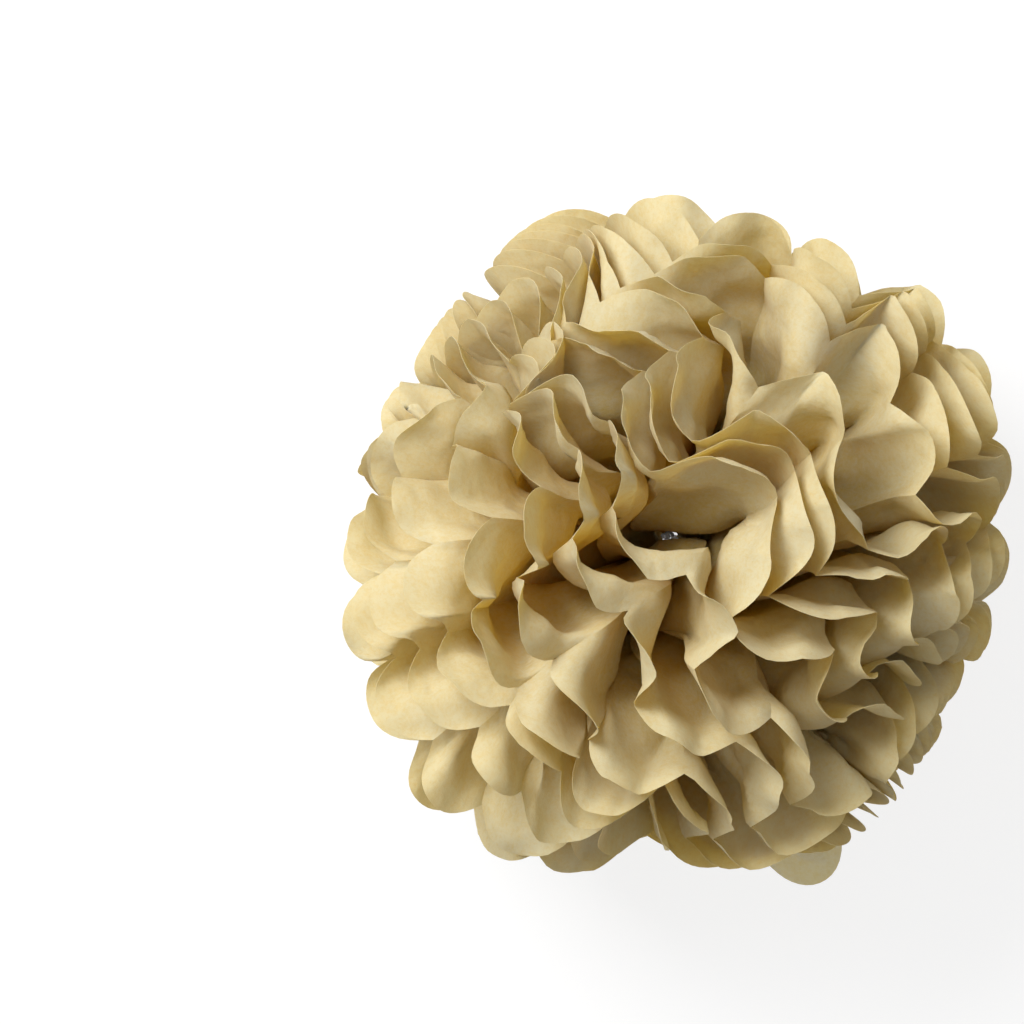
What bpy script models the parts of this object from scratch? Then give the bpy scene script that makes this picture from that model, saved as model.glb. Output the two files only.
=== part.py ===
"""Tissue paper pom pom: a stack of tissue sheets, pleated together into a strip with round-cut ends,
tied round the middle and fanned out into a ball.

Frame: +Z up, the strip runs along X, the two fans of a sheet meet along the seam, which runs along Y.
The origin is on the table, under the middle of the ball. The first sheet stands up at the front, the
last one lies under the ball. Sizes are in metres and angles in degrees unless a name says otherwise.
"""

import math

import bmesh
import bpy
import numpy as np
from mathutils import Matrix, Vector

# The paper
SHEET_COUNT = 14
SHEET_LENGTH = 0.500
STRIP_LENGTH = 0.280
PANEL_COUNT = 11
SCALLOP_DEPTH = 0.014
SCALLOP_POWER = 2.2
SHEET_THICKNESS = 0.0004
STACK_GAP = 0.00035

# The tie round the waist
TIE_WIDTH = 0.006
TIE_THICKNESS = 0.0008
TIE_CLEARANCE = 0.0003
WAIST_EDGE_MARGIN = 0.001
NECK_CLEARANCE = 0.0006
KNOT_SIZE = (0.0052, 0.0046, 0.0038)
KNOT_SINK = 0.0007
TIE_SIDES = 24

# How the fans stand
WAIST_HEIGHT = 0.104
FRONT_ANGLE = 84.0
BACK_ANGLE = -76.0
BACK_SPREAD = 0.20
SEAM_ANGLE = 6.0

# How the pleats stand open along the strip, measured from the tie
FLAT_REACH = 0.014
DEEP_REACH = 0.062
OPEN_REACH = 0.105
PLEAT_SHARE = 0.80
SEAM_CALM = 0.6
FACING_SHARE = 0.65
NESTING_ERROR = 0.2
PANEL_BOW = 0.0035

# How the sheets that hang down meet the table
HANGING_ANGLE = -40.0
BEND_MARGIN = 0.010
RIM_MARGIN = 0.009
PRESSED_SHARE = 0.45
LEVEL_TOLERANCE = 1e-7

# How a sheet's middle surface gets its thickness
LEAST_FACING = 0.25
NORMAL_ROUNDS = 12

# How the whole ball is out of true: long waves, bulges of its outline, pages that lean over, and chance
WARP_SIZES = (0.0065, 0.0050, 0.0035)
WARP_LENGTHS = (0.190, 0.135, 0.105)
WARP_TURN = 35.0
WARP_STEPS = (1.3, 2.1, 1.7)
WARP_STARTS = (0.4, 1.1, 2.0)
WARP_FREE_RADIUS = 0.022
WARP_FULL_RADIUS = 0.090
WARP_FULL_HEIGHT = 0.060
WARP_LIFT_SHARE = 0.6
BULGES = ((2, 0.028, 6.0), (3, 0.024, -58.0), (4, 0.050, -11.0), (5, 0.027, -26.0), (6, 0.031, 19.0))
BULGE_FREE_RADIUS = 0.030
BULGE_FULL_RADIUS = 0.110
SWAYS = ((4.5, 0.62, 0.5, 1.3), (3.2, 1.10, -0.9, 0.4), (2.2, 0.35, 1.4, 2.0))
SWAY_FREE_REACH = 0.030
SWAY_FULL_REACH = 0.125
SWAY_CALM_PAGES = 2.5
FOLD_JITTER = 1.4
PLEAT_JITTER = 0.12
SHEET_DRIFT = 0.42
CHANCE_STEPS = (37.719, 78.233, 4.137)

TISSUE_COLOUR = (0.60, 0.47, 0.27, 1.0)
RIBBON_COLOUR = (0.86, 0.84, 0.80, 1.0)

PANEL_WIDTH = SHEET_LENGTH / PANEL_COUNT
STRIP_REACH = STRIP_LENGTH / 2
STACK_PITCH = SHEET_THICKNESS + STACK_GAP
HALF_STACK = STACK_PITCH * (SHEET_COUNT - 1) / 2 + SHEET_THICKNESS / 2
WAIST_RADIUS = HALF_STACK + WAIST_EDGE_MARGIN
TIE_RADIUS = WAIST_RADIUS + TIE_CLEARANCE
NECK_REACH = TIE_WIDTH / 2 + NECK_CLEARANCE + SHEET_THICKNESS / 2
FOLD_STEP = (180.0 - 2 * SEAM_ANGLE) / PANEL_COUNT


def smooth_step(value, low, high):
    """0 below low, 1 above high, and a smooth rise between them."""
    share = np.clip((value - low) / (high - low), 0.0, 1.0)
    return share * share * (3.0 - 2.0 * share)


def lean_of(sheet):
    """The angle of a sheet's fans above the table's plane: close together at the front, wider behind."""
    share = sheet / (SHEET_COUNT - 1)
    eased = (1.0 - BACK_SPREAD) * share + BACK_SPREAD * share**3
    return FRONT_ANGLE + (BACK_ANGLE - FRONT_ANGLE) * eased


def chance(sheet, side, fold, turn):
    """A number from -1 to 1 that looks random from fold to fold but changes little from sheet to sheet."""
    side_step, fold_step, turn_step = CHANCE_STEPS
    return math.sin(SHEET_DRIFT * sheet + side_step * side + fold_step * (fold + 1) + turn_step * turn)


def waist_place(sheet):
    """(height in the stack, half width, outward reach of the turn) of a sheet where the tie holds it."""
    height = STACK_PITCH * ((SHEET_COUNT - 1) / 2 - sheet)
    outer = abs(height) + SHEET_THICKNESS / 2
    half_width = math.sqrt(WAIST_RADIUS**2 - outer**2)
    reach = NECK_REACH + STACK_PITCH * min(sheet, SHEET_COUNT - 1 - sheet)
    return height, half_width, reach


def scalloped_reach(column):
    """The length of the paper from the tie at a column, in panels from the edge of the sheet."""
    share = column - math.floor(min(column, PANEL_COUNT - 1e-9))
    return STRIP_REACH - SCALLOP_DEPTH * abs(2.0 * share - 1.0) ** SCALLOP_POWER


def nesting(fold):
    """How far the pleats of a sheet's two fans are out of step: 1 where ridge meets furrow, 0 at the seam."""
    return math.sin(math.pi * fold / PANEL_COUNT)


def pleat_depth(fold, reach, across):
    """Half the depth of the pleats: what the panel's width leaves over from the width it has to fill.

    The fans of the steepest sheet face each other across the seam. Where their pleats don't nest, all
    the sheets keep to the room that it has.
    """
    chord = min(2.0 * reach * math.sin(math.radians(FOLD_STEP) / 2), PANEL_WIDTH)
    free = 0.5 * math.sqrt(PANEL_WIDTH**2 - chord**2)
    grown = smooth_step(reach, FLAT_REACH, DEEP_REACH)
    facing = math.tan(math.radians(90.0 - max(FRONT_ANGLE, -BACK_ANGLE)))
    clash = 1.0 + NESTING_ERROR - nesting(fold)
    room = FACING_SHARE * (NECK_REACH + reach * across * facing) / clash
    return min(PLEAT_SHARE * free * grown * min(1.0, across / SEAM_CALM), room)


def middle_reach(sheet, column):
    """Where a row crosses the fan between its deep pleats and its rim.

    On the sheets that hang down, it lies where the last one bends to lie on the table.
    """
    if lean_of(sheet) > HANGING_ANGLE:
        return OPEN_REACH
    across = math.sin(math.radians(SEAM_ANGLE + FOLD_STEP * column))
    bend = WAIST_HEIGHT / (across * math.sin(math.radians(-BACK_ANGLE))) + BEND_MARGIN
    return min(bend, scalloped_reach(column) - RIM_MARGIN)


def pressed(sheet, fold, reach):
    """What the weight of the ball leaves of a hanging sheet's pleats near the table."""
    if lean_of(sheet) > HANGING_ANGLE:
        return 1.0
    return 1.0 - PRESSED_SHARE * smooth_step(reach, DEEP_REACH, middle_reach(sheet, fold))


def fold_place(sheet, side, fold, reach):
    """A point on a fold, at a distance from the tie, seen from the waist."""
    height, half_width, turn_reach = waist_place(sheet)
    lean = math.radians(lean_of(sheet))
    inner = 0 < fold < PANEL_COUNT
    jitter = FOLD_JITTER * chance(sheet, side, fold, 1) if inner else 0.0
    seam = math.radians(SEAM_ANGLE + FOLD_STEP * (fold + 0.5 * side * nesting(fold)) + jitter)
    across = math.sin(seam)
    outward = Vector((across * math.cos(lean), math.cos(seam), across * math.sin(lean)))
    away = Vector((-math.sin(lean), 0.0, math.cos(lean)))
    waist_y = half_width * (1.0 - 2.0 * fold / PANEL_COUNT)
    depth = pleat_depth(fold, reach, across) * pressed(sheet, fold, reach)
    depth *= 1.0 + PLEAT_JITTER * chance(sheet, side, fold, 2)
    start = Vector((turn_reach, waist_y, height))
    return start + outward * reach + away * (depth * (-1) ** fold)


def panel_place(sheet, side, column, reach):
    """A point of the sheet, seen from the waist. Between two folds the paper is straight but for a bow."""
    fold = min(int(column), PANEL_COUNT - 1)
    share = column - fold
    first = fold_place(sheet, side, fold, reach)
    second = fold_place(sheet, side, fold + 1, reach)
    point = first.lerp(second, share)
    lean = math.radians(lean_of(sheet))
    bow = PANEL_BOW * smooth_step(reach, FLAT_REACH, OPEN_REACH) * 4.0 * share * (1.0 - share)
    point += Vector((-math.sin(lean), 0.0, math.cos(lean))) * bow
    point.x *= side
    return swayed(point, sheet, side, column, reach)


def swayed(point, sheet, side, column, reach):
    """The fans lean over in waves: a point is turned round the seam by sines of its page and its column.

    The pages are numbered from the front, upwards to the right and downwards to the left. Those at the
    front, where the two fans of the first sheet face each other, hardly turn.
    """
    page = side * (sheet + 0.5)
    waves = (
        size * math.sin(by_page * page + by_fold * column + start)
        for size, by_page, by_fold, start in SWAYS
    )
    moved = 1.0 - math.exp(-((page / SWAY_CALM_PAGES) ** 2))
    moved *= float(smooth_step(reach, SWAY_FREE_REACH, SWAY_FULL_REACH))
    turn = math.radians(sum(waves)) * moved
    x = point.x * math.cos(turn) + point.z * math.sin(turn)
    z = point.z * math.cos(turn) - point.x * math.sin(turn)
    return Vector((x, point.y, z))


def warped(point):
    """The whole ball is a little out of true: three long waves, none of them at the tie.

    Each wave moves the paper sideways to the way that it runs, so that no two sheets come together.
    Near the table, none of them lifts it.
    """
    free = float(smooth_step(point.length, WARP_FREE_RADIUS, WARP_FULL_RADIUS))
    lift = float(smooth_step(WAIST_HEIGHT + point.z, 0.0, WARP_FULL_HEIGHT))
    shift = Vector((0.0, 0.0, 0.0))
    for turn, (size, length) in enumerate(zip(WARP_SIZES, WARP_LENGTHS)):
        wave = 2.0 * math.pi / length
        run = math.radians(WARP_TURN * (turn - 1))
        across = point.y * math.cos(run) + point.z * math.sin(run)
        phases = [start + turn * step for start, step in zip(WARP_STARTS, WARP_STEPS)]
        shift.x += size * math.sin(wave * across + phases[0])
        shift.y += size * math.sin(wave * point.z + phases[1])
        shift.z += WARP_LIFT_SHARE * lift * size * math.sin(wave * point.x + phases[2])
    return point + shift * free


def bulged(point):
    """The ball's outline, seen from above, is a circle with a few bulges, each so many times round it."""
    radius = math.hypot(point.x, point.y)
    around = math.atan2(point.y, point.x)
    swell = sum(size * math.cos(times * (around - math.radians(peak))) for times, size, peak in BULGES)
    swell *= float(smooth_step(radius, BULGE_FREE_RADIUS, BULGE_FULL_RADIUS))
    return Vector((point.x * (1.0 + swell), point.y * (1.0 + swell), point.z))


def lying_level(sheet):
    """The height of a sheet's middle where it lies flat: on the table, or on the sheets behind it."""
    return SHEET_THICKNESS / 2 + STACK_PITCH * (SHEET_COUNT - 1 - sheet)


def sheet_point(sheet, side, column, reach):
    """A point of the ball on its table. Paper that would reach lower is turned outwards and lies flat."""
    placed = bulged(warped(panel_place(sheet, side, column, reach))) + Vector((0.0, 0.0, WAIST_HEIGHT))
    below = lying_level(sheet) - placed.z
    if below > 0.0:
        placed.z = lying_level(sheet)
        placed.x += side * below
    return placed


def fan_rows(sheet, side):
    """The rows of middle-surface points of one fan, from the tie to the scalloped rim, as (column, point)."""
    rows = []
    steps = (
        (1, lambda column: 0.0),
        (1, lambda column: FLAT_REACH),
        (1, lambda column: DEEP_REACH),
        (2, lambda column: middle_reach(sheet, column)),
        (4, scalloped_reach),
    )
    for per_panel, reach in steps:
        columns = [step / per_panel for step in range(PANEL_COUNT * per_panel + 1)]
        rows.append([(column, sheet_point(sheet, side, column, reach(column))) for column in columns])
    return rows


def strip_between(first, second):
    """Triangles between two rows of (column, index), walked side by side from the lowest column."""
    faces = []
    i = j = 0
    while i < len(first) - 1 or j < len(second) - 1:
        step_first = first[i + 1][0] if i < len(first) - 1 else math.inf
        step_second = second[j + 1][0] if j < len(second) - 1 else math.inf
        if step_first < step_second:
            faces.append((first[i][1], second[j][1], first[i + 1][1]))
            i += 1
        else:
            faces.append((first[i][1], second[j][1], second[j + 1][1]))
            j += 1
    return faces


def sheet_surface(sheet):
    """(points, triangles) of a sheet's middle surface: fan, waist and fan, row by row."""
    rows = list(reversed(fan_rows(sheet, -1))) + fan_rows(sheet, 1)
    points, numbered = [], []
    for row in rows:
        numbered.append([(column, len(points) + i) for i, (column, _) in enumerate(row)])
        points.extend(point for _, point in row)
    faces = []
    for first, second in zip(numbered, numbered[1:]):
        faces.extend(strip_between(first, second))
    return np.array(points), np.array(faces)


def unit(vectors):
    return vectors / np.linalg.norm(vectors, axis=1)[:, None]


def face_normals(points, faces):
    corners = points[faces]
    return unit(np.cross(corners[:, 1] - corners[:, 0], corners[:, 2] - corners[:, 0]))


def facing_share(points, faces, normals):
    """How far each triangle faces along the normal at each of its corners, as three columns."""
    across = face_normals(points, faces)
    return np.stack([(across * normals[faces[:, corner]]).sum(axis=1) for corner in range(3)], axis=1)


def point_normals(points, faces):
    """The normal at each point of an open surface, each triangle counting by its angle at the point.

    It is then turned towards the triangles that it hardly faces, so that a shell keeps its thickness.
    """
    corners = points[faces]
    across = face_normals(points, faces)
    normals = np.zeros_like(points)
    for corner in range(3):
        first = unit(corners[:, (corner + 1) % 3] - corners[:, corner])
        second = unit(corners[:, (corner + 2) % 3] - corners[:, corner])
        angle = np.arccos(np.clip((first * second).sum(axis=1), -1.0, 1.0))
        np.add.at(normals, faces[:, corner], across * angle[:, None])
    normals = unit(normals)
    for _ in range(NORMAL_ROUNDS):
        lack = np.clip(LEAST_FACING - facing_share(points, faces, normals), 0.0, None)
        for corner in range(3):
            np.add.at(normals, faces[:, corner], across * lack[:, corner, None])
        normals = unit(normals)
    return normals


def rim_edges(faces):
    """The directed edges that only one triangle has."""
    edges = {(int(a), int(b)) for face in faces for a, b in zip(face, np.roll(face, -1))}
    return [(a, b) for a, b in sorted(edges) if (b, a) not in edges]


def level_points(points, faces, normals, level):
    """The points at the level where no triangle is too steep for a level face."""
    upright = np.zeros_like(normals)
    upright[:, 2] = np.sign(normals[:, 2])
    steepest = np.full(len(points), np.inf)
    share = facing_share(points, faces, upright)
    for corner in range(3):
        np.minimum.at(steepest, faces[:, corner], share[:, corner])
    return (points[:, 2] <= level + LEVEL_TOLERANCE) & (steepest > LEAST_FACING), upright


def thicken(points, faces, level):
    """A closed shell round an open surface. Where the paper lies down, at the level, its faces are level."""
    normals = point_normals(points, faces)
    lying, upright = level_points(points, faces, normals, level)
    normals[lying] = upright[lying]
    upper = points + normals * SHEET_THICKNESS / 2
    lower = points - normals * SHEET_THICKNESS / 2
    count = len(points)
    shell = [tuple(int(i) for i in face) for face in faces]
    shell += [tuple(int(i) + count for i in reversed(face)) for face in faces]
    for a, b in rim_edges(faces):
        shell += [(b, a, a + count), (b, a + count, b + count)]
    return np.vstack([upper, lower]), shell


def material(name, colour, roughness):
    made = bpy.data.materials.new(name)
    made.use_nodes = True
    shader = made.node_tree.nodes["Principled BSDF"]
    shader.inputs["Base Color"].default_value = colour
    shader.inputs["Roughness"].default_value = roughness
    shader.inputs["Metallic"].default_value = 0.0
    return made


def add_object(name, mesh, parent, finish):
    made = bpy.data.objects.new(name, mesh)
    bpy.context.scene.collection.objects.link(made)
    made.parent = parent
    mesh.materials.append(finish)
    return made


def make_sheet(sheet, parent, finish, centre):
    points, faces = thicken(*sheet_surface(sheet), lying_level(sheet))
    mesh = bpy.data.meshes.new(f"sheet_{sheet + 1:02d}")
    mesh.from_pydata([tuple(point) for point in points - centre], [], faces)
    shaped = bmesh.new()
    shaped.from_mesh(mesh)
    bmesh.ops.recalc_face_normals(shaped, faces=shaped.faces)
    shaped.to_mesh(mesh)
    shaped.free()
    return add_object(f"sheet_{sheet + 1:02d}", mesh, parent, finish)


def make_tie(parent, finish):
    """A band of ribbon round the waist, with its knot on the seam side."""
    shaped = bmesh.new()
    inner, outer, half = TIE_RADIUS, TIE_RADIUS + TIE_THICKNESS, TIE_WIDTH / 2
    profile = [(-half, inner), (half, inner), (half, outer), (-half, outer)]
    ring = []
    for step in range(TIE_SIDES):
        turn = 2.0 * math.pi * step / TIE_SIDES
        ring.append([shaped.verts.new((x, r * math.cos(turn), r * math.sin(turn))) for x, r in profile])
    for step in range(TIE_SIDES):
        here, there = ring[step], ring[(step + 1) % TIE_SIDES]
        for corner in range(4):
            follow = (corner + 1) % 4
            shaped.faces.new((here[corner], here[follow], there[follow], there[corner]))
    bmesh.ops.recalc_face_normals(shaped, faces=shaped.faces)
    mesh = bpy.data.meshes.new("centre_tie")
    shaped.to_mesh(mesh)
    shaped.free()
    tie = add_object("centre_tie", mesh, parent, finish)

    knot_mesh = bpy.data.meshes.new("knot_guide")
    shaped = bmesh.new()
    bmesh.ops.create_uvsphere(shaped, u_segments=12, v_segments=6, radius=0.5)
    size = Matrix.Diagonal((KNOT_SIZE[0], KNOT_SIZE[1], KNOT_SIZE[2], 1.0))
    bmesh.ops.transform(shaped, matrix=size, verts=shaped.verts)
    seat = Vector((0.0, outer + KNOT_SIZE[1] / 2 - KNOT_SINK, 0.0))
    bmesh.ops.translate(shaped, vec=seat, verts=shaped.verts)
    shaped.to_mesh(knot_mesh)
    shaped.free()
    knot = add_object("knot_guide", knot_mesh, parent, finish)
    knot.hide_render = True
    knot.display_type = "WIRE"
    union = tie.modifiers.new("knot", "BOOLEAN")
    union.operation = "UNION"
    union.object = knot
    return tie


def middle_of_ball():
    """The point of the table under the middle of the ball's outline."""
    rims = [fan_rows(sheet, side)[-1] for sheet in range(SHEET_COUNT) for side in (-1, 1)]
    points = np.array([point for rim in rims for _, point in rim])
    middle = (points.min(axis=0) + points.max(axis=0)) / 2
    return np.array([middle[0], middle[1], 0.0])


def main():
    for old in list(bpy.data.objects):
        bpy.data.objects.remove(old, do_unlink=True)
    centre = middle_of_ball()
    ball = bpy.data.objects.new("ball", None)
    bpy.context.scene.collection.objects.link(ball)
    waist = bpy.data.objects.new("waist", None)
    bpy.context.scene.collection.objects.link(waist)
    waist.parent = ball
    waist.location = (-centre[0], -centre[1], WAIST_HEIGHT)
    tissue = material("tissue_paper", TISSUE_COLOUR, 0.85)
    ribbon = material("white_ribbon", RIBBON_COLOUR, 0.55)
    for sheet in range(SHEET_COUNT):
        make_sheet(sheet, ball, tissue, centre)
    make_tie(waist, ribbon)


main()
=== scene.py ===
"""The looks of an opened tissue paper pom pom, made round the solid frame of the same part.

The paper starts on the frame's own layout. A relaxation then keeps every sheet near its cut size, while
chance and weight move it and it keeps to its place between its neighbours. Crumples are added at the end.
Sizes are in metres and angles in degrees unless a name says otherwise.
"""

import math

import bmesh
import bpy
import numpy as np
from mathutils import Matrix, Vector


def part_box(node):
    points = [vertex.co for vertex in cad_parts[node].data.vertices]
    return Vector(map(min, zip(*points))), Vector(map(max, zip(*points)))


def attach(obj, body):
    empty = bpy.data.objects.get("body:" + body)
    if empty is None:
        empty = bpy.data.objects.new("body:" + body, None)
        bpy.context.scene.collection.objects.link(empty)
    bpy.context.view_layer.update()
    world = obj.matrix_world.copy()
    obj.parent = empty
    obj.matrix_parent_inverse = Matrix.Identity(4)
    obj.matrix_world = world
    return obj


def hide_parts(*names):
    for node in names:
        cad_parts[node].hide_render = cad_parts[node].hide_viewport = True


bl_info = {
    "name": "Tissue Paper Pom Pom",
    "version": (1, 0, 0),
    "blender": (4, 5, 0),
    "location": "3D View > Sidebar > Pom Pom",
    "description": "Makes the crumpled tissue sheets of a paper ball, its ribbon tie and a plain stage",
    "category": "Object",
}

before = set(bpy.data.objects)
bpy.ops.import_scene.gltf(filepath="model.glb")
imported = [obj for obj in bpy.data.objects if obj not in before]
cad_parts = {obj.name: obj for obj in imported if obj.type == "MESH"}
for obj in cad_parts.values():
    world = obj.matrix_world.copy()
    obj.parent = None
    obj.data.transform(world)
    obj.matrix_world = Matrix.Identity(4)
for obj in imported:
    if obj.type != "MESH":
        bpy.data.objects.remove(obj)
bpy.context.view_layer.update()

# The flat sheets, and the stack of them where it is pinched. From here on as in the frame's own layout.
SHEETS = sorted(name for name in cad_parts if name.startswith("sheet_"))
SHEET_COUNT = len(SHEETS)
PANEL_COUNT = 11
SCALLOP_DEPTH = 0.014
SCALLOP_POWER = 2.2
STACK_PITCH = 0.00075
WAIST_EDGE_MARGIN = 0.0012
NECK_REACH = 0.0038

# How the fans stand: the first and the last sheet's lean, and the folds' angles from the seam
FRONT_ANGLE = 84.0
BACK_ANGLE = -76.0
BACK_SPREAD = 0.20
SEAM_ANGLE = 6.0
FOLD_STEP = (180.0 - 2 * SEAM_ANGLE) / PANEL_COUNT

# How deep the pleats are, from the tie outwards, near the seam and where the fans hang to the table
FLAT_REACH = 0.014
DEEP_REACH = 0.062
OPEN_REACH = 0.105
PLEAT_SHARE = 0.80
SEAM_CALM = 0.6
FACING_SHARE = 0.65
NESTING_ERROR = 0.2
PANEL_BOW = 0.0035
HANGING_ANGLE = -40.0
BEND_MARGIN = 0.010
RIM_MARGIN = 0.009
PRESSED_SHARE = 0.45

# The ball out of true: long waves through it, bulges of its outline, pages that lean over, and chance
WARP_SIZES = (0.0065, 0.0050, 0.0035)
WARP_LENGTHS = (0.190, 0.135, 0.105)
WARP_TURN = 35.0
WARP_STEPS = (1.3, 2.1, 1.7)
WARP_STARTS = (0.4, 1.1, 2.0)
WARP_FREE_RADIUS = 0.022
WARP_FULL_RADIUS = 0.090
WARP_FULL_HEIGHT = 0.060
WARP_LIFT_SHARE = 0.6
BULGES = ((2, 0.028, 6.0), (3, 0.024, -58.0), (4, 0.050, -11.0), (5, 0.027, -26.0), (6, 0.031, 19.0))
BULGE_FREE_RADIUS = 0.030
BULGE_FULL_RADIUS = 0.110
SWAYS = ((4.5, 0.62, 0.5, 1.3), (3.2, 1.10, -0.9, 0.4), (2.2, 0.35, 1.4, 2.0))
SWAY_FREE_REACH = 0.030
SWAY_FULL_REACH = 0.125
SWAY_CALM_PAGES = 2.5
FOLD_JITTER = 1.4
PLEAT_JITTER = 0.12
SHEET_DRIFT = 0.42
CHANCE_STEPS = (37.719, 78.233, 4.137)

# The grid of one fan: cells across a panel and from the tie to the rim, first coarse and then fine
COARSE_CELLS = (8, 22)
FINE_CELLS = (16, 44)

# Lengths and areas so small that they only keep a division from failing
TINY_LENGTH = 1e-9
TINY_AREA = 1e-12

# How the paper is held while it relaxes: fast at the tie, hardly further out, and a little by the seam
HELD_REACH = 0.016
FREE_REACH = 0.070
HOLD_POWER = 0.35
SQUEEZE_FREE_REACH = 0.018
SQUEEZE_FULL_REACH = 0.060
AWAY_FROM_SEAM = (0.12, 0.70)
SEAM_HOLD = 0.02

# How much longer than the flat paper the edges may be, to follow the frame's layout
MOST_SPREAD = 1.25
PAPER_GROWTH = 1.01

# The gap between neighbouring pages near the tie and far out, and how much of a lack is made up at once
LEAST_GAP = 0.0004
OPEN_GAP = 0.0026
GAP_REACH = (0.020, 0.090)
PART_SHARE = 0.4
MOST_PARTING = 0.004
FLOOR_GAP = 0.0003

# Where chance and weight work, and how much more of chance the pages at the front get
LOOSE_REACH = (0.030, 0.120)
WEIGHT_REACH = (0.030, 0.140)
PUSHED_SHARE = 0.6
FRONT_ROUGHNESS = 0.8
FRONT_PAGES = 5.0

# Creases: how often they are looked for, how sharp a bend makes one, and the stiffness left in it
CREASE_ROUNDS = 20
CREASE_BENDS = (0.25, 0.60)
CREASED_FIRMNESS = 0.35

# Ironing: paper that has folded over within a few cells is smoothed with its neighbours. It counts as
# folded over where its fine and its wide normals differ by an angle of a lower cosine than the least.
IRON_SPAN = 3
LEAST_TURNED = 0.35
IRON_REACH = 0.075
IRON_MARGIN = 2
IRON_ROUNDS = 14
IRON_SHARE = 0.8

# The crumples: how they wander on the paper, in what patches they lie, and how they change by page.
# The cells are those of the noises: pages, share of the reach, panels.
CRUMPLE_WANDER = 0.012
CRUMPLE_WANDER_CELLS = (3.0, 0.35, 1.2)
CRUMPLE_PATCH_CELLS = (2.5, 0.4, 1.0)
CRUMPLE_DRIFT = 0.03
CRUMPLE_TURNING = 0.5
CRUMPLE_SEED_STEP = 5

# After the crumples the pages are parted a few times more, by little each time
PARTING_ROUNDS = 6
LAST_PARTING = 0.0005

# Sets of folds: (turn of their direction from across the paper, distance between them, steepness)
CRUMPLES = (
    (14.0, 0.040, 0.60), (-40.0, 0.052, 0.50),
    (28.0, 0.023, 0.40), (-22.0, 0.017, 0.30), (66.0, 0.027, 0.34), (-70.0, 0.014, 0.24),
)

# The sheet that shows singly over the table: two of its petals slip out, and its neighbours draw back
SLIPPED_SHEET = 10
SLIPPED_PANELS = (9.0, 10.5)
SLIPPED_SHARE = 0.07
DRAWN_SHARE = 0.10
DRAWN_PAGES = 5.0

# The bend from which a fold between panels is shaded as a sharp edge
SHARP_BEND = 20.0

# The paper's looks. A noise is (cells in a metre, detail, roughness), a bump is (strength, distance).
CLOUDS = (110.0, 3.0, 0.6)
FIBRES = (420.0, 5.0, 0.80)
CREASES = (95.0, 4.0, 0.55)
CLOUD_SHARE = 0.35
FIBRE_RANGE = (0.42, 0.92)
SPECKLE_SHARE = 0.65
# Painted shade and light: the paper is drawn deeper in colour near the tie and paler towards the rim between
# these reaches along the paper, at most by this share
PAINTED_SHADE_REACH = (0.065, 0.140)
PAINTED_LIGHT_SHARE = 0.55
FIBRE_RELIEF = 0.25
PAPER_BUMP = (0.8, 0.0009)
PAPER_ROUGHNESS = 0.72
PAPER_SHINE = 0.25
PAPER_SHEEN = 0.15
THROUGH_TINT = (0.99, 0.815, 0.26)

# The ribbon's band, pinched at the knot and folded along its length, the knot, and the threads
BAND_CELLS = (96, 14)
BAND_PINCH = 0.5
BAND_PINCH_ANGLE = 0.4
BAND_FOLDS = 2.0
BAND_SWING = 1.2
BAND_RIPPLE = 0.00022
KNOT_CELLS = (120, 12)
KNOT_DEPTH = 1.3
KNOT_MARGIN = 0.0012
KNOT_SECTION = (0.00078, 0.00034)
KNOT_INSET = 0.0010
KNOT_SINK = 0.0007
KNOT_HEIGHT = 0.0038
THREAD_WOBBLE = 0.6
RIBBON_BUMP = (0.6, 0.0001)
RIBBON_ROUGHNESS = 0.5
RIBBON_SHEEN = 0.3

# The stage: the floor, how it looks when it is seen, the lamp, and the camera's lens and aim
FLOOR_SIZE = 6.0
FLOOR_DROP = 0.0003
SEEN_WHITE = 0.80
SEEN_SHARE = 0.24
LAMP_HEIGHT = 1.3
LAMP_DISTANCE = 1.1
LAMP_BEARING = 98.6
LAMP_SIZE = 0.9
SENSOR_WIDTH = 36.0
CAMERA_ROLL = 53.6
FRAME_PIXELS = 1024
BALL_PIXEL = (674.0, 551.0)
BALL_MID_HEIGHT = 0.1


class Level:
    """How one grid is relaxed: its rounds, stiffness, hold at the rim and noises.

    The span is how many cells to each side the normals are taken over. A noise is (pages, share of the
    reach, panels) from one chance number to the next, and its share.
    """

    def __init__(self, seed_step, span, rounds, stiffness, rim_hold, noises):
        self.seed_step = seed_step
        self.span = span
        self.rounds = rounds
        self.stiffness = stiffness
        self.rim_hold = rim_hold
        self.noises = noises


COARSE_LEVEL = Level(
    seed_step=1, span=2, rounds=300, stiffness=0.50, rim_hold=0.0030,
    noises=((2.6, 0.45, 1.3, 1.0), (1.3, 0.25, 0.7, 0.8)),
)
FINE_LEVEL = Level(
    seed_step=2, span=4, rounds=60, stiffness=0.50, rim_hold=0.0030, noises=((0.9, 0.14, 0.40, 0.10),),
)


def smooth_step(value, low, high):
    """0 below low, 1 above high, and a smooth rise between them."""
    share = np.clip((value - low) / (high - low), 0.0, 1.0)
    return share * share * (3.0 - 2.0 * share)


def waist_centre():
    """The middle of the band of the frame's tie, where all the sheets are pinched."""
    low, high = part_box("centre_tie")
    radius = (high[2] - low[2]) / 2
    return np.array([(low[0] + high[0]) / 2, low[1] + radius, (low[2] + high[2]) / 2])


CENTRE = waist_centre()


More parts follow.
